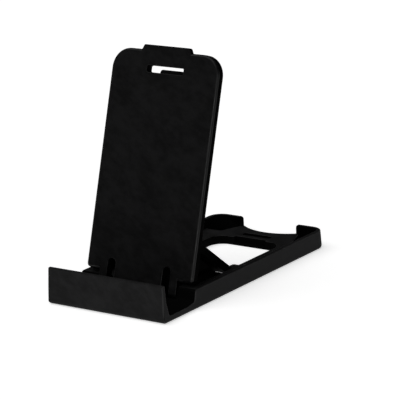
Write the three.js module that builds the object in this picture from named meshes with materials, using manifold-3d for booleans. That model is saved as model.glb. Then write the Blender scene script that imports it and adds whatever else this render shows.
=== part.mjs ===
// Folding phone stand in millimetres, +Z up.
// Three plastic mouldings snap together: a base tray with a front lip, a back plate that the phone leans on,
// and a forked prop leg that holds the plate up. Folded, the leg lies in the plate's hollow back and the plate
// lies inside the tray, flush with the tray's walls.
// X is left to right. Y starts at the front of the lip and Z at the table; at the end the whole stand is moved
// forward by half its length, so that its origin is the centre of the footprint.

import * as THREE from 'three';
import Module from 'manifold-3d';
import { mergeVertices } from 'three/addons/utils/BufferGeometryUtils.js';

const TRAY = {
  halfWidth: 27.5,
  length: 118,
  wallHeight: 7.7,
  draft: 0.05,              // how far a side or rear face leans in, per millimetre of height
  frontCorner: 0.7,
  rearCorner: 6,
  bottomEdge: 1.3,
  innerHalf: 25.2,
  innerRear: 116.2,
  innerCorner: 4.2,
  shelfTop: 3.6,            // the rails and the deck, which the folded plate rests on
  floorTop: 1.5,
  returnGapHalf: 13.3,
  returnEdge: 1.2,
};
const LIP = { top: 14.8, lean: 0.4, thickness: 1.6, rootThickness: 3.6, edge: 0.55, foot: 1.9 };
const TROUGH = { floor: 2.6, rampStart: 15.5, rampEnd: 19.3, ledge: 3.1, back: 20.9 };
const BLOCK = { inner: 18.6, rear: 26.4, topFront: 21.7, footFront: 20.4, edge: 1.6, foot: 1.2 };
const OPENING = {
  half: 15.9,
  front: 62,
  rear: 101,
  corner: 6,
  gapCorner: 1.5,
  webFront: 69.2,
  webRear: 70.6,
  webTop: 1,
};
const TOOTH = { inner: 13.2, front: 64, rear: 68.4, edge: 1.3 };
const TONGUE = { half: 6.5, front: 50, top: 3.1, edge: 1.2 };
const POCKET = { frontInner: 17.9, rearInner: 14.7, front: 106.6, floor: 0.9, edge: 1.2 };
const DECK_NOTCH = { half: 7.4, rear: 102.8, floor: 1.2, edge: 0.8 };
const DECK_SLOT = { half: 6.6, front: 105.6, rear: 108.6, floor: 1.2, edge: 0.8 };
const FINGER_CUT = { radius: 20.7, centre: 133.9 };
const CORING = { railInner: 17.2, railOuter: 24.4, railRoof: 2.2, troughRoof: 1, edge: 0.8 };

const PIVOT = { y: 23.6, z: 4.6, pinRadius: 1.5, boreRadius: 1.58, pinTip: 21.4, boreEnd: 22 };
const LEAN = 73.5;           // the plate's angle above the table when the stand is open, in degrees

// The plate's own frame: X across, Y up the plate from its pivot, Z out of the face that holds the phone.
const PLATE = {
  half: 25,
  bottom: 4.4,
  top: 91.3,
  front: 3.1,
  back: -0.7,
  sheetBack: 1.4,
  topCorner: 8,
  bottomCorner: 1.5,
  faceEdge: 1.3,
  rim: 1.8,
  rootTop: 12.5,
};
const TAB = { half: 11.4, tipHalf: 10.5, root: 88.3, top: 93.2, back: 0.9, edge: 0.6 };
const GRIP_SLOT = { left: -8.1, right: 9, low: 82.6, high: 85.3, corner: 0.8, collar: 1.6 };
const CATCH = { left: -2.9, top: 84.1, front: 1.2, edge: 1.2 };
const FLEX_SLOT = { inner: 11.2, outer: 14.8, top: 9.2 };
const SNAP_LEG = { outer: 18.3, end: -2.3, belly: -2.2 };
const APRON_END = -1.9;

// The prop leg's own frame: X across, Y from its pins to its feet, Z towards the plate when folded.
const PROP = {
  pivotUp: 24.05,            // its pins' place on the plate
  pivotOut: -0.65,
  angle: 110.1,              // how far it swings open from the plate, in degrees
  half: 12.7,
  windowHalf: 7,
  length: 43.7,
  upper: 1.75,
  lower: -1.65,
  headEnd: 13,
  headLower: -0.2,
  pinRadius: 1.15,
  pinTip: 15.1,
  footEdge: 0.8,
};
const LUG = { inner: 13.2, outer: 15.4, boreRadius: 1.23, halfRoot: 3, halfTip: 2.3, tip: -2.1, edge: 2 };

const BEYOND = 40;           // a cutter reaches this far past whatever it cuts
const ARC_STEPS = 7;
const ROUND_STEPS = 40;

const wasm = await Module();
wasm.setup();

// ---- shapes and solids -------------------------------------------------------------------------------------

// A closed outline through corners [x, y, radius]; a corner that has a radius becomes a tangent arc.
function outline(corners) {
  const shape = new THREE.Shape();
  const points = corners.map(([x, y]) => new THREE.Vector2(x, y));
  corners.forEach(([, , radius = 0], i) => {
    const corner = points[i];
    if (radius === 0) {
      if (i === 0) shape.moveTo(corner.x, corner.y);
      else shape.lineTo(corner.x, corner.y);
      return;
    }
    const back = points.at(i - 1).clone().sub(corner).normalize();
    const ahead = points[(i + 1) % points.length].clone().sub(corner).normalize();
    const half = Math.acos(back.dot(ahead)) / 2;
    const start = back.clone().multiplyScalar(radius / Math.tan(half)).add(corner);
    const end = ahead.clone().multiplyScalar(radius / Math.tan(half)).add(corner);
    const centre = back.clone().add(ahead).normalize().multiplyScalar(radius / Math.sin(half)).add(corner);
    const from = start.clone().sub(centre).angle();
    const to = end.clone().sub(centre).angle();
    if (i === 0) shape.moveTo(start.x, start.y);
    else shape.lineTo(start.x, start.y);
    shape.absarc(centre.x, centre.y, radius, from, to, back.cross(ahead) > 0);
  });
  shape.closePath();
  return shape;
}

// A rectangle from (x0, y0) to (x1, y1) with one corner radius at its low-y end and one at its high-y end.
function rectangle(x0, y0, x1, y1, lowRadius = 0, highRadius = 0) {
  return outline([[x0, y0, lowRadius], [x1, y0, lowRadius], [x1, y1, highRadius], [x0, y1, highRadius]]);
}

function toSolid(geometry) {
  const bare = geometry.clone();
  bare.deleteAttribute('normal');
  bare.deleteAttribute('uv');
  const merged = mergeVertices(bare, 1e-4);
  return new wasm.Manifold(new wasm.Mesh({
    numProp: 3,
    vertProperties: new Float32Array(merged.attributes.position.array),
    triVerts: new Uint32Array(merged.index.array),
  }));
}

function extrusion(shape, depth, bevel = 0) {
  return new THREE.ExtrudeGeometry(shape, {
    depth: depth - 2 * bevel,
    curveSegments: ARC_STEPS,
    bevelEnabled: bevel > 0,
    bevelThickness: bevel,
    bevelSize: bevel,
    bevelOffset: -bevel,
    bevelSegments: 4,
  }).translate(0, 0, bevel);
}

// A plan outline (x, y) raised from z0 to z1.
function plan(shape, z0, z1) {
  return toSolid(extrusion(shape, z1 - z0).translate(0, 0, z0));
}

// A side outline (y, z) drawn out from x0 to x1.
function side(shape, x0, x1) {
  const axes = new THREE.Matrix4().makeBasis(
    new THREE.Vector3(0, 1, 0),
    new THREE.Vector3(0, 0, 1),
    new THREE.Vector3(1, 0, 0),
  );
  return toSolid(extrusion(shape, x1 - x0).applyMatrix4(axes).translate(x0, 0, 0));
}

// A front outline (x, z) drawn back from y0 to y1.
function front(shape, y0, y1) {
  return toSolid(extrusion(shape, y1 - y0).rotateX(Math.PI / 2).translate(0, y1, 0));
}

// A round bar along X, centred at (y, z), with a small chamfer at each end.
function bar(radius, x0, x1, y, z, chamfer = 0) {
  const profile = [
    new THREE.Vector2(0, x0),
    new THREE.Vector2(radius - chamfer, x0),
    new THREE.Vector2(radius, x0 + chamfer),
    new THREE.Vector2(radius, x1 - chamfer),
    new THREE.Vector2(radius - chamfer, x1),
    new THREE.Vector2(0, x1),
  ];
  if (chamfer === 0) profile.splice(1, 4, new THREE.Vector2(radius, x0), new THREE.Vector2(radius, x1));
  const turned = new THREE.LatheGeometry(profile, ROUND_STEPS).rotateZ(-Math.PI / 2);
  return toSolid(turned.translate(0, y, z));
}

const mirrored = (solid) => solid.mirror([1, 0, 0]);
const onBothSides = (solid) => solid.add(mirrored(solid));

function toMesh(name, solid, material) {
  const { vertProperties, triVerts } = solid.getMesh();
  const geometry = new THREE.BufferGeometry();
  geometry.setAttribute('position', new THREE.BufferAttribute(new Float32Array(vertProperties), 3));
  geometry.setIndex(new THREE.BufferAttribute(new Uint32Array(triVerts), 1));
  geometry.computeVertexNormals();
  const mesh = new THREE.Mesh(geometry, material);
  mesh.name = name;
  return mesh;
}

function blackPlastic(hex, roughness) {
  return new THREE.MeshStandardMaterial({ color: hex, roughness, metalness: 0 });
}

// ---- base tray ---------------------------------------------------------------------------------------------

// Leans the side faces, and whatever lies behind the middle, inwards with height.
function drafted(geometry) {
  const position = geometry.attributes.position;
  for (let i = 0; i < position.count; i += 1) {
    const x = position.getX(i);
    const y = position.getY(i);
    const lean = TRAY.draft * position.getZ(i);
    position.setX(i, x - Math.sign(x) * lean);
    if (y > TRAY.length / 2) position.setY(i, y - lean);
  }
  return geometry;
}

// The footprint with its rounded bottom edge, drawn past the front.
function trayBody() {
  const t = TRAY;
  const shape = rectangle(-t.halfWidth, -BEYOND, t.halfWidth, t.length, 0, t.rearCorner);
  return toSolid(drafted(extrusion(shape, LIP.top + 2 * t.bottomEdge, t.bottomEdge)));
}

// The front's upright corners are rounded over.
function trayFront() {
  const t = TRAY;
  const shape = rectangle(-t.halfWidth, 0, t.halfWidth, 2 * t.length, t.frontCorner);
  return toSolid(drafted(extrusion(shape, BEYOND)));
}

// What the tray looks like from the side: lip, trough, hinge blocks and walls.
function traySideView() {
  const t = TROUGH;
  const beyond = TRAY.length + 2;
  return side(outline([
    [0, 0, LIP.foot],
    [beyond, 0],
    [beyond, TRAY.wallHeight],
    [BLOCK.topFront, TRAY.wallHeight, BLOCK.edge],
    [BLOCK.footFront, t.ledge, BLOCK.foot],
    [t.rampEnd, t.ledge],
    [t.rampStart, t.floor],
    [LIP.rootThickness, t.floor, 1.2],
    [LIP.thickness + 0.5, LIP.top * 0.6, 12],
    [LIP.thickness + LIP.lean, LIP.top, LIP.edge],
    [LIP.lean, LIP.top, LIP.edge],
  ]), -BEYOND, BEYOND);
}

// The outline of the well between the rails, with one tooth standing into it from each rail.
function wellOutline(front, rear, frontRadius, rearRadius) {
  const right = [
    [OPENING.half, front, frontRadius],
    [OPENING.half, TOOTH.front],
    [TOOTH.inner, TOOTH.front, TOOTH.edge],
    [TOOTH.inner, TOOTH.rear, TOOTH.edge],
    [OPENING.half, TOOTH.rear],
    [OPENING.half, rear, rearRadius],
  ];
  const left = right.map(([x, y, radius]) => [-x, y, radius]).reverse();
  return outline([...right, ...left]);
}

// The floor between tongue and rails is open where the prop's feet drop in.
function footGap() {
  return plan(outline([
    [TONGUE.half, OPENING.front, OPENING.gapCorner],
    [OPENING.half, OPENING.front, OPENING.gapCorner],
    [OPENING.half, TOOTH.front],
    [TOOTH.inner, TOOTH.front, TOOTH.edge],
    [TOOTH.inner, TOOTH.rear, TOOTH.edge],
    [OPENING.half, TOOTH.rear],
    [OPENING.half, OPENING.webFront],
    [TONGUE.half, OPENING.webFront],
  ]), -1, BEYOND);
}

function trayInterior() {
  const t = TRAY;
  const hollow = rectangle(-t.innerHalf, BLOCK.rear, t.innerHalf, t.innerRear, 0, t.innerCorner);
  const hingeBay = outline([
    [TROUGH.back, t.floorTop],
    [BLOCK.rear + 1, t.floorTop],
    [BLOCK.rear + 1, BEYOND],
    [TROUGH.rampEnd, BEYOND],
    [TROUGH.rampEnd, TROUGH.ledge],
    [TROUGH.back, TROUGH.ledge],
  ]);
  return plan(hollow, t.shelfTop, BEYOND)
    .add(side(hingeBay, -BLOCK.inner, BLOCK.inner))
    .add(plan(wellOutline(BLOCK.rear, OPENING.rear, 0, OPENING.corner), t.floorTop, BEYOND));
}

function trayOpenings() {
  const main = rectangle(-OPENING.half, OPENING.webRear, OPENING.half, OPENING.rear, 0, OPENING.corner);
  const overWebs = rectangle(-OPENING.half, OPENING.webFront - 0.5, OPENING.half, OPENING.webRear + 1);
  return plan(main, -1, BEYOND)
    .add(onBothSides(footGap()))
    .add(plan(overWebs, OPENING.webTop, TRAY.floorTop + 0.5));
}

// The tongue fills the fork of the folded prop leg and stops it from rattling sideways.
function tongue() {
  const shape = rectangle(-TONGUE.half, TONGUE.front, TONGUE.half, OPENING.webRear, 0, TONGUE.edge);
  return plan(shape, 0, TONGUE.top);
}

// The rear corners are recessed behind the walls' ends, to a thin floor.
function cornerPocket() {
  const t = TRAY;
  return plan(outline([
    [POCKET.frontInner, POCKET.front, POCKET.edge],
    [t.innerHalf, POCKET.front, POCKET.edge],
    [t.innerHalf, t.innerRear, t.innerCorner],
    [POCKET.rearInner, t.innerRear],
  ]), POCKET.floor, BEYOND);
}

// The gap between the rear walls, whose upper ends are rounded.
function returnGap() {
  const t = TRAY;
  const right = [
    [t.returnGapHalf, t.shelfTop],
    [t.returnGapHalf, t.wallHeight, t.returnEdge],
    [t.innerHalf, t.wallHeight],
    [t.innerHalf, BEYOND],
  ];
  const left = right.map(([x, z, radius]) => [-x, z, radius]).reverse();
  return front(outline([...right, ...left]), FINGER_CUT.centre - FINGER_CUT.radius, t.length + 1);
}

function rearDeckCuts() {
  const s = DECK_SLOT;
  const notch = rectangle(-DECK_NOTCH.half, OPENING.rear - 1, DECK_NOTCH.half, DECK_NOTCH.rear, 0, DECK_NOTCH.edge);
  const slot = rectangle(-s.half, s.front, s.half, s.rear, s.edge, s.edge);
  const finger = new THREE.Shape().absarc(0, FINGER_CUT.centre, FINGER_CUT.radius, 0, 2 * Math.PI);
  const round = new THREE.ExtrudeGeometry(finger, { depth: BEYOND, curveSegments: 72, bevelEnabled: false });
  return returnGap()
    .add(plan(notch, DECK_NOTCH.floor, BEYOND))
    .add(plan(slot, s.floor, BEYOND))
    .add(toSolid(round.translate(0, 0, -1)));
}

// Hollows in the underside keep the moulding's walls even.
function trayCoring() {
  const railBays = [[29, 50.5], [52, 73.5], [75, 96.5]];
  const troughBays = [[-24.6, -8.9], [-7.7, 7.7], [8.9, 24.6]];
  const rails = railBays.map(([front, rear]) => onBothSides(plan(
    rectangle(CORING.railInner, front, CORING.railOuter, rear, CORING.edge, CORING.edge),
    -1,
    CORING.railRoof,
  )));
  const trough = troughBays.map(([left, right]) => plan(
    rectangle(left, 5, right, 18, CORING.edge, CORING.edge),
    -1,
    CORING.troughRoof,
  ));
  return [...rails, ...trough].reduce((all, bay) => all.add(bay));
}

function baseTray() {
  const bore = bar(PIVOT.boreRadius, BLOCK.inner - 1, PIVOT.boreEnd, PIVOT.y, PIVOT.z);
  return trayBody()
    .intersect(traySideView())
    .intersect(trayFront())
    .subtract(trayInterior())
    .subtract(trayOpenings())
    .add(tongue())
    .subtract(onBothSides(cornerPocket()))
    .subtract(rearDeckCuts())
    .subtract(trayCoring())
    .subtract(onBothSides(bore));
}

// ---- back plate --------------------------------------------------------------------------------------------

// The board, with its front edges rounded off.
function board() {
  const p = PLATE;
  const shape = rectangle(-p.half, p.bottom, p.half, p.top, p.bottomCorner, p.topCorner);
  const depth = p.front - p.back + 2 * p.faceEdge;
  const rounded = toSolid(extrusion(shape, depth, p.faceEdge).translate(0, 0, p.front - depth));
  const keep = rectangle(-BEYOND, -BEYOND, BEYOND, 3 * BEYOND);
  return rounded.intersect(plan(keep, p.back, p.front + 1));
}

// A low tab at the top, flush with the face; folded, it fills the gap between the tray's rear walls.
function tab() {
  const t = TAB;
  return plan(outline([
    [-t.half, t.root],
    [t.half, t.root],
    [t.half, PLATE.top],
    [t.tipHalf, t.top, t.edge],
    [-t.tipHalf, t.top, t.edge],
    [-t.half, PLATE.top],
  ]), t.back, PLATE.front);
}

// The apron between the flexing legs runs down in front of the hinge.
function apron() {
  return side(outline([
    [PLATE.rootTop, PLATE.back],
    [PLATE.rootTop, PLATE.front],
    [APRON_END, PLATE.front, 1],
    [APRON_END, PLATE.back, 1],
  ].reverse()), -FLEX_SLOT.inner, FLEX_SLOT.inner);
}

// One springy leg with the hinge pin at its end.
function snapLeg() {
  const s = SNAP_LEG;
  const leg = side(outline([
    [PLATE.rootTop, PLATE.back],
    [PLATE.rootTop, PLATE.front],
    [s.end + 0.4, PLATE.front, 1.6],
    [s.end, s.belly, 2.1],
    [1.6, s.belly, 1.4],
    [2.6, PLATE.back],
  ].reverse()), FLEX_SLOT.outer, s.outer);
  return leg.add(bar(PIVOT.pinRadius, s.outer - 1, PIVOT.pinTip, 0, 0, 0.4));
}

function flexSlot() {
  const radius = (FLEX_SLOT.outer - FLEX_SLOT.inner) / 2 - 0.01;
  return plan(rectangle(FLEX_SLOT.inner, -BEYOND, FLEX_SLOT.outer, FLEX_SLOT.top, 0, radius), -BEYOND, BEYOND);
}

// The hollow in the plate's back, which stops short of a collar round the grip slot.
function backHollow() {
  const p = PLATE;
  const g = GRIP_SLOT;
  const inside = p.half - p.rim;
  const hollow = rectangle(-inside, p.rootTop, inside, p.top - p.rim, 1.5, p.topCorner - p.rim);
  const c = g.collar;
  const collar = rectangle(g.left - c, g.low - c, g.right + c, g.high + c, 2, 2);
  return plan(hollow, -BEYOND, p.sheetBack).subtract(plan(collar, -BEYOND, BEYOND));
}

function gripSlot() {
  const g = GRIP_SLOT;
  return plan(rectangle(g.left, g.low, g.right, g.high, g.corner, g.corner), -BEYOND, BEYOND);
}

// A small catch behind the slot's lower edge.
function slotCatch() {
  const end = GRIP_SLOT.right + 0.5;
  return plan(outline([
    [CATCH.left, GRIP_SLOT.low - 1],
    [end, GRIP_SLOT.low - 1],
    [end, CATCH.top],
    [CATCH.left, CATCH.top, CATCH.edge],
  ]), PLATE.back, CATCH.front);
}

// One of the two lugs that hold the prop leg's pins.
function propLug() {
  const y = PROP.pivotUp;
  const z = PROP.pivotOut;
  const root = PLATE.sheetBack + 0.4;
  const lug = side(outline([
    [y - LUG.halfRoot, root],
    [y - LUG.halfTip, z + LUG.tip, LUG.edge],
    [y + LUG.halfTip, z + LUG.tip, LUG.edge],
    [y + LUG.halfRoot, root],
  ]), LUG.inner, LUG.outer);
  return lug.subtract(bar(LUG.boreRadius, LUG.inner - 1, LUG.outer + 1, y, z));
}

function backPlate() {
  return board()
    .add(tab())
    .add(apron())
    .subtract(onBothSides(flexSlot()))
    .add(onBothSides(snapLeg()))
    .subtract(backHollow())
    .subtract(gripSlot())
    .add(slotCatch())
    .add(onBothSides(propLug()));
}

// ---- prop leg ----------------------------------------------------------------------------------------------

// One arm of the fork, rounded at its foot.
function propArm() {
  const p = PROP;
  return side(outline([
    [0, p.lower],
    [p.length, p.lower, p.footEdge],
    [p.length, p.upper, p.footEdge],
    [0, p.upper],
  ]), p.windowHalf, p.half);
}

// The thin web that joins the arms at the pin end, and clears the tray's tongue when folded.
function propHead() {
  const p = PROP;
  const window = rectangle(-p.windowHalf, p.headEnd, p.windowHalf, 2 * p.headEnd, 3, 0);
  const web = rectangle(-p.half, 0, p.half, p.headEnd + 4);
  return plan(web, p.headLower, p.upper).subtract(plan(window, -BEYOND, BEYOND));
}

function propLeg() {
  const p = PROP;
  return bar(p.upper, -p.half, p.half, 0, 0)
    .add(onBothSides(propArm()))
    .add(propHead())
    .add(bar(p.pinRadius, -p.pinTip, p.pinTip, 0, 0, 0.3));
}

// ---- the stand ---------------------------------------------------------------------------------------------

const stand = new THREE.Group();
stand.position.y = -TRAY.length / 2;
stand.add(toMesh('base_tray', baseTray(), blackPlastic(0x1c1c1d, 0.55)));

const plateFrame = new THREE.Group();
plateFrame.position.set(0, PIVOT.y, PIVOT.z);
plateFrame.rotation.x = THREE.MathUtils.degToRad(LEAN);
plateFrame.add(toMesh('back_plate', backPlate(), blackPlastic(0x161617, 0.6)));
stand.add(plateFrame);

const propFrame = new THREE.Group();
propFrame.position.set(0, PROP.pivotUp, PROP.pivotOut);
propFrame.rotation.x = -THREE.MathUtils.degToRad(PROP.angle);
propFrame.add(toMesh('prop_leg', propLeg(), blackPlastic(0x151516, 0.6)));
plateFrame.add(propFrame);

export default stand;
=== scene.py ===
"""Looks of the folding phone stand: three black mouldings with softened edges, on a white studio table.

Each moulding is a copy of its CAD node whose sharp edges are rolled over by the radius that a mould leaves.
Its plastic has a fine eroded grain and slanting flow clouds. The rolled edges are smoother. The faces that
lie in shade, inside the tray, on the plate's rear rim and on all but the rear side of the prop, get painted
shade: a darker and duller copy of the plastic.
"""

import math

import bmesh
import bpy
from mathutils import Matrix, Vector


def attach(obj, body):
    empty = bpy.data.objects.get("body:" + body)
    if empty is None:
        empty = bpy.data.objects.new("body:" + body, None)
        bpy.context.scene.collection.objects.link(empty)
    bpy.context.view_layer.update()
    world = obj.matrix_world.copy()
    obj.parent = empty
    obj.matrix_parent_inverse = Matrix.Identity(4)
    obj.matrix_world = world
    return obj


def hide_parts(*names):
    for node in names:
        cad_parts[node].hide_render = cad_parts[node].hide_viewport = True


MM = 0.001

# The camera looks at the stand from its front right, a little above the table. Its angles are in degrees, and
# its place is measured aside, above and back along its own axes from the middle of the lip's foot.
AZIMUTH = 34.544
ELEVATION = 15.075
ROLL = -1.981
ASIDE = 35.90 * MM
ABOVE = 43.35 * MM
DISTANCE = 818.14 * MM
LIP_FROM_ORIGIN = 59.0 * MM
FOCAL_MM = 194.53
SENSOR_MM = 36.0
NEAREST = 0.05
FARTHEST = 50.0

# A mesh edge flatter than FLAT_ANGLE is joined up, and one sharper than SHARP_ANGLE is rolled over.
WELD = 0.002 * MM
FLAT_ANGLE = math.radians(0.6)
SHARP_ANGLE = math.radians(35.0)
EDGE_SEGMENTS = 2
EDGE_PROFILE = 0.5
FLAT_FACE_WEIGHT = 80

# The three finishes of a moulding: its textured show side, its rolled edges, and painted shade, a darker and
# duller copy put on the faces that lie in shade. One row per finish: name, shade, gloss, roughness, grain.
SHOW, EDGE, PAINTED_SHADE = range(3)
FINISHES_AND_SHADE = [
    ("show", 0.009, 0.08, 0.75, 0.35),
    ("edge", 0.006, 0.24, 0.40, 0.15),
    # The last row is painted shade: near-black and dull, for the faces that lie in shade.
    ("painted_shade", 0.0005, 0.03, 0.85, 0.25),
]
PLATE_DIMMING = 0.55

# Inside the tray's walls all faces get painted shade, except the deck and the tops of the walls. The outer
# faces lie beyond these limits, and those of the rounded rear corners beyond CORNER_REACH, a place's x and y
# added.
TRAY_INSIDE = 25.4 * MM
LIP_FRONT = -57.9 * MM
REAR_FRONT = 58.0 * MM
CORNER_REACH = 81.4 * MM
LEVEL = 0.9
DECK_LOW = 3.3 * MM
DECK_HIGH = 4.2 * MM
WALL_TOP = 7.6 * MM

# The plate is textured on its front and back, and the rear half of its rim gets painted shade.
LEAN = math.radians(73.5)
PLATE_FRONT = Vector((0.0, -math.sin(LEAN), math.cos(LEAN)))
FLAT_FACING = 0.97
RIM_FACING = 0.15

# The prop's show side is the one that turns to the rear; all its other faces get painted shade.
PROP_REARWARD = 0.3

# The plastic's noises, each with its scale per metre, detail and roughness. The clouds and the smaller
# blotches are stretched along a slanting flow, and the pits are the grain.
CLOUDS = (120.0, 5.0, 0.6)
BLOTCHES = (480.0, 3.0, 0.6)
PITS = (3600.0, 3.0, 0.65)
FLOW_TURN = (0.0, math.radians(30.0), 0.0)
FLOW_STRETCH = (1.8, 1.0, 1.0)
BLOTCH_SHARE = 0.35
PIT_DEPTH = 0.04 * MM
BLUE_TINT = 1.03

# The patches' values between PALE and DEEP move a finish's shade and roughness this far either way.
PALE = 0.4
DEEP = 0.6
CLOUDINESS = 0.42
CLOUD_ROUGHNESS = 0.12

# The table glows a little, because the studio's light reaches it from everywhere. It lies just under the
# stand.
FLOOR_SIZE = 12.0
FLOOR_DROP = 0.02 * MM
FLOOR_SHADE = 0.9
FLOOR_ROUGHNESS = 0.6
FLOOR_GLOSS = 0.2
FLOOR_GLOW = 0.55
BACKDROP_GLOW = 1.0
ROOM_GLOW = 0.0

# One row per soft light: name, the way it shines, strength, spread in degrees.
LIGHTS = [
    ("overhead", (0.25, 0.35, -1.0), 1.9, 80.0),
    ("side", (-0.82, 0.53, -0.13), 0.9, 25.0),
]


# ---- mouldings -------------------------------------------------------------------------------------------


def clean_mesh(source):
    """The node's mesh with its flat faces joined up, as an editable mesh."""
    bm = bmesh.new()
    bm.from_mesh(source.data)
    bmesh.ops.remove_doubles(bm, verts=bm.verts, dist=WELD)
    bmesh.ops.dissolve_limit(
        bm, angle_limit=FLAT_ANGLE, verts=bm.verts, edges=bm.edges, use_dissolve_boundaries=False
    )
    return bm


def roll_edges(bm, radius):
    """Rounds every sharp outer edge over and gives the new faces the edge finish."""
    sharp = [e for e in bm.edges if e.is_convex and e.calc_face_angle(0.0) > SHARP_ANGLE]
    bmesh.ops.bevel(
        bm,
        geom=sharp,
        offset=radius,
        offset_type="OFFSET",
        segments=EDGE_SEGMENTS,
        profile=EDGE_PROFILE,
        affect="EDGES",
        clamp_overlap=False,
        material=EDGE,
        loop_slide=False,
    )


def tray_finish_and_shade(face):
    """Painted shade within the walls, except on the deck and on top of the walls."""
    place = face.calc_center_median()
    across = abs(place.x)
    inside = across < TRAY_INSIDE and LIP_FRONT < place.y < REAR_FRONT and across + place.y < CORNER_REACH
    at_top = DECK_LOW < place.z < DECK_HIGH or place.z > WALL_TOP
    # Faces inside the walls, apart from the deck and the wall tops, get painted shade.
    in_shade = inside and not (at_top and face.normal.z > LEVEL)
    return PAINTED_SHADE if in_shade else face.material_index


def plate_finish_and_shade(face):
    """The show side front and back, with a smooth rim in front and painted shade on the rim behind."""
    facing = face.normal.dot(PLATE_FRONT)
    if abs(facing) > FLAT_FACING:
        return face.material_index
    return EDGE if facing > RIM_FACING else PAINTED_SHADE


def prop_finish_and_shade(face):
    """Painted shade all over, except towards the rear."""
    return face.material_index if face.normal.y > PROP_REARWARD else PAINTED_SHADE


def moulding(source, name, radius, finish, materials):
    """A copy of a CAD node with its edges rolled over, a finish on each face and painted shade on those in
    shade.
    """
    bm = clean_mesh(source)
    for face in bm.faces:
        face.material_index = SHOW
    roll_edges(bm, radius)
    bm.normal_update()
    for face in bm.faces:
        face.material_index = finish(face)
        face.smooth = True
    mesh = bpy.data.meshes.new(name)
    bm.to_mesh(mesh)
    bm.free()
    for material in materials:
        mesh.materials.append(material)
    piece = bpy.data.objects.new(name, mesh)
    bpy.context.scene.collection.objects.link(piece)
    weighted = piece.modifiers.new("even_shading", "WEIGHTED_NORMAL")
    weighted.mode = "FACE_AREA"
    weighted.weight = FLAT_FACE_WEIGHT
    return piece


# One row per moulding: CAD node, piece, body, slot, edge radius, finish of each face with its painted shade,
# dimming.
MOULDINGS = [
    ("base_tray", "tray_moulding", "tray", "tray_plastic", 0.28 * MM, tray_finish_and_shade, 1.0),
    ("back_plate", "plate_moulding", "plate", "plate_plastic", 0.22 * MM, plate_finish_and_shade, PLATE_DIMMING),
    ("prop_leg", "prop_moulding", "prop", "prop_plastic", 0.22 * MM, prop_finish_and_shade, 1.0),
]


# ---- plastic ---------------------------------------------------------------------------------------------


class Nodes:
    """Builds one material's nodes with short calls."""

    def __init__(self, name):
        self.material = bpy.data.materials.new(name)
        self.material.use_nodes = True
        self.tree = self.material.node_tree
        self.shader = self.tree.nodes["Principled BSDF"]

    def add(self, kind, **values):
        node = self.tree.nodes.new(kind)
        for key, value in values.items():
            setattr(node, key, value)
        return node

    def link(self, source, output, target, value):
        self.tree.links.new(source.outputs[output], target.inputs[value])

    def noise(self, source, output, scale, detail, roughness):
        node = self.add("ShaderNodeTexNoise")
        node.inputs["Scale"].default_value = scale
        node.inputs["Detail"].default_value = detail
        node.inputs["Roughness"].default_value = roughness
        self.link(source, output, node, "Vector")
        return node

    def spread(self, patches, middle, reach):
        """The patches' values turned into a number that goes as far as reach either way from middle."""
        node = self.add("ShaderNodeMapRange")
        node.inputs["From Min"].default_value = PALE
        node.inputs["From Max"].default_value = DEEP
        node.inputs["To Min"].default_value = middle - reach
        node.inputs["To Max"].default_value = middle + reach
        self.link(patches, "Result", node, "Value")
        return node


def flow_patches(n, place):
    """Clouds with smaller blotches in them, stretched along the flow."""
    flow = n.add("ShaderNodeMapping", vector_type="TEXTURE")
    flow.inputs["Rotation"].default_value = FLOW_TURN
    flow.inputs["Scale"].default_value = FLOW_STRETCH
    n.link(place, "Object", flow, "Vector")
    clouds = n.noise(flow, "Vector", *CLOUDS)
    blotches = n.noise(flow, "Vector", *BLOTCHES)
    patches = n.add("ShaderNodeMix", data_type="FLOAT")
    patches.inputs["Factor"].default_value = BLOTCH_SHARE
    n.link(clouds, "Fac", patches, "A")
    n.link(blotches, "Fac", patches, "B")
    return patches


def colour(n, patches, shade):
    """Links a near-black colour, a little bluer than grey."""
    level = n.spread(patches, shade, shade * CLOUDINESS)
    bluer = n.add("ShaderNodeMath", operation="MULTIPLY")
    bluer.inputs[1].default_value = BLUE_TINT
    n.link(level, "Result", bluer, 0)
    mixed = n.add("ShaderNodeCombineColor")
    n.link(level, "Result", mixed, "Red")
    n.link(level, "Result", mixed, "Green")
    n.link(bluer, "Value", mixed, "Blue")
    n.link(mixed, "Color", n.shader, "Base Color")


def eroded_grain(n, place, strength):
    pits = n.noise(place, "Object", *PITS)
    bump = n.add("ShaderNodeBump")
    bump.inputs["Strength"].default_value = strength
    bump.inputs["Distance"].default_value = PIT_DEPTH
    n.link(pits, "Fac", bump, "Height")
    n.link(bump, "Normal", n.shader, "Normal")


def black_plastic(name, shade, gloss, roughness, grain):
    """Near-black moulded plastic: flow patches in its shade and roughness, over a fine eroded grain."""
    n = Nodes(name)
    place = n.add("ShaderNodeTexCoord")
    patches = flow_patches(n, place)
    colour(n, patches, shade)
    n.link(n.spread(patches, roughness, CLOUD_ROUGHNESS), "Result", n.shader, "Roughness")
    eroded_grain(n, place, grain)
    n.shader.inputs["Specular IOR Level"].default_value = gloss
    return n.material


# ---- stage -----------------------------------------------------------------------------------------------


def view_axes():
    """The camera's right, up and backward directions."""
    azimuth, elevation, roll = (math.radians(v) for v in (AZIMUTH, ELEVATION, ROLL))
    right = Vector((math.cos(azimuth), math.sin(azimuth), 0.0))
    level = math.cos(elevation)
    back = Vector((math.sin(azimuth) * level, -math.cos(azimuth) * level, math.sin(elevation)))
    up = back.cross(right)
    return (
        math.cos(roll) * right + math.sin(roll) * up,
        math.cos(roll) * up - math.sin(roll) * right,
        back,
    )


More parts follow.
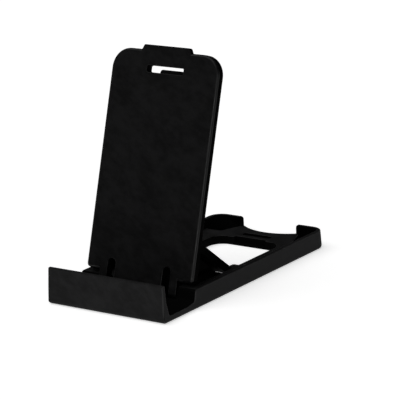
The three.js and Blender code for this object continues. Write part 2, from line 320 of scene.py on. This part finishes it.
def add_camera():
    right, up, back = view_axes()
    place = right * ASIDE + up * ABOVE + back * DISTANCE - Vector((0.0, LIP_FROM_ORIGIN, 0.0))
    data = bpy.data.cameras.new("camera")
    data.lens = FOCAL_MM
    data.sensor_width = SENSOR_MM
    data.clip_start = NEAREST
    data.clip_end = FARTHEST
    camera = bpy.data.objects.new("camera", data)
    bpy.context.scene.collection.objects.link(camera)
    camera.matrix_world = Matrix.Translation(place) @ Matrix((right, up, back)).transposed().to_4x4()
    bpy.context.scene.camera = camera


def white_table():
    n = Nodes("white_table")
    n.shader.inputs["Base Color"].default_value = (FLOOR_SHADE, FLOOR_SHADE, FLOOR_SHADE, 1.0)
    n.shader.inputs["Roughness"].default_value = FLOOR_ROUGHNESS
    n.shader.inputs["Specular IOR Level"].default_value = FLOOR_GLOSS
    n.shader.inputs["Emission Color"].default_value = (1.0, 1.0, 1.0, 1.0)
    n.shader.inputs["Emission Strength"].default_value = FLOOR_GLOW
    return n.material


def add_floor():
    half = FLOOR_SIZE / 2
    corners = [(x, y, -FLOOR_DROP) for x, y in ((-half, -half), (half, -half), (half, half), (-half, half))]
    mesh = bpy.data.meshes.new("floor")
    mesh.from_pydata(corners, [], [(0, 1, 2, 3)])
    mesh.materials.append(white_table())
    floor = bpy.data.objects.new("floor", mesh)
    bpy.context.scene.collection.objects.link(floor)


def add_sun(name, towards, strength, spread):
    """A broad soft light that shines the same all over the table."""
    data = bpy.data.lights.new(name, "SUN")
    data.energy = strength
    data.angle = math.radians(spread)
    light = bpy.data.objects.new(name, data)
    bpy.context.scene.collection.objects.link(light)
    light.rotation_euler = Vector(towards).to_track_quat("-Z", "Y").to_euler()


def add_world():
    """A dark room behind a white backdrop that only the camera sees."""
    world = bpy.data.worlds.new("studio")
    world.use_nodes = True
    tree = world.node_tree
    background = tree.nodes["Background"]
    path = tree.nodes.new("ShaderNodeLightPath")
    level = tree.nodes.new("ShaderNodeMapRange")
    level.inputs["To Min"].default_value = ROOM_GLOW
    level.inputs["To Max"].default_value = BACKDROP_GLOW
    tree.links.new(path.outputs["Is Camera Ray"], level.inputs["Value"])
    tree.links.new(level.outputs["Result"], background.inputs["Strength"])
    bpy.context.scene.world = world


# ---- the scene -------------------------------------------------------------------------------------------

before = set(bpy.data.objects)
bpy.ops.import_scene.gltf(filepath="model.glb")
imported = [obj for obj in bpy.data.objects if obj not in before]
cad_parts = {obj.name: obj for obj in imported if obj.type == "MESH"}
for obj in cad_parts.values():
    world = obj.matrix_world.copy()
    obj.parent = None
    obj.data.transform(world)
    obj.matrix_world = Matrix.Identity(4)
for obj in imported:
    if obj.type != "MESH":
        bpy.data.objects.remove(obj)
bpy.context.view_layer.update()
bpy.context.scene.view_settings.view_transform = "Standard"

add_camera()
add_floor()
add_world()
for light in LIGHTS:
    add_sun(*light)

for node, name, body, slot, radius, finish, dimming in MOULDINGS:
    materials = [
        black_plastic(f"{slot}_{side}", shade * dimming, gloss * dimming, roughness, grain)
        for side, shade, gloss, roughness, grain in FINISHES_AND_SHADE
    ]
    piece = moulding(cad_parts[node], name, radius, finish, materials)
    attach(piece, body)
    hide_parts(node)
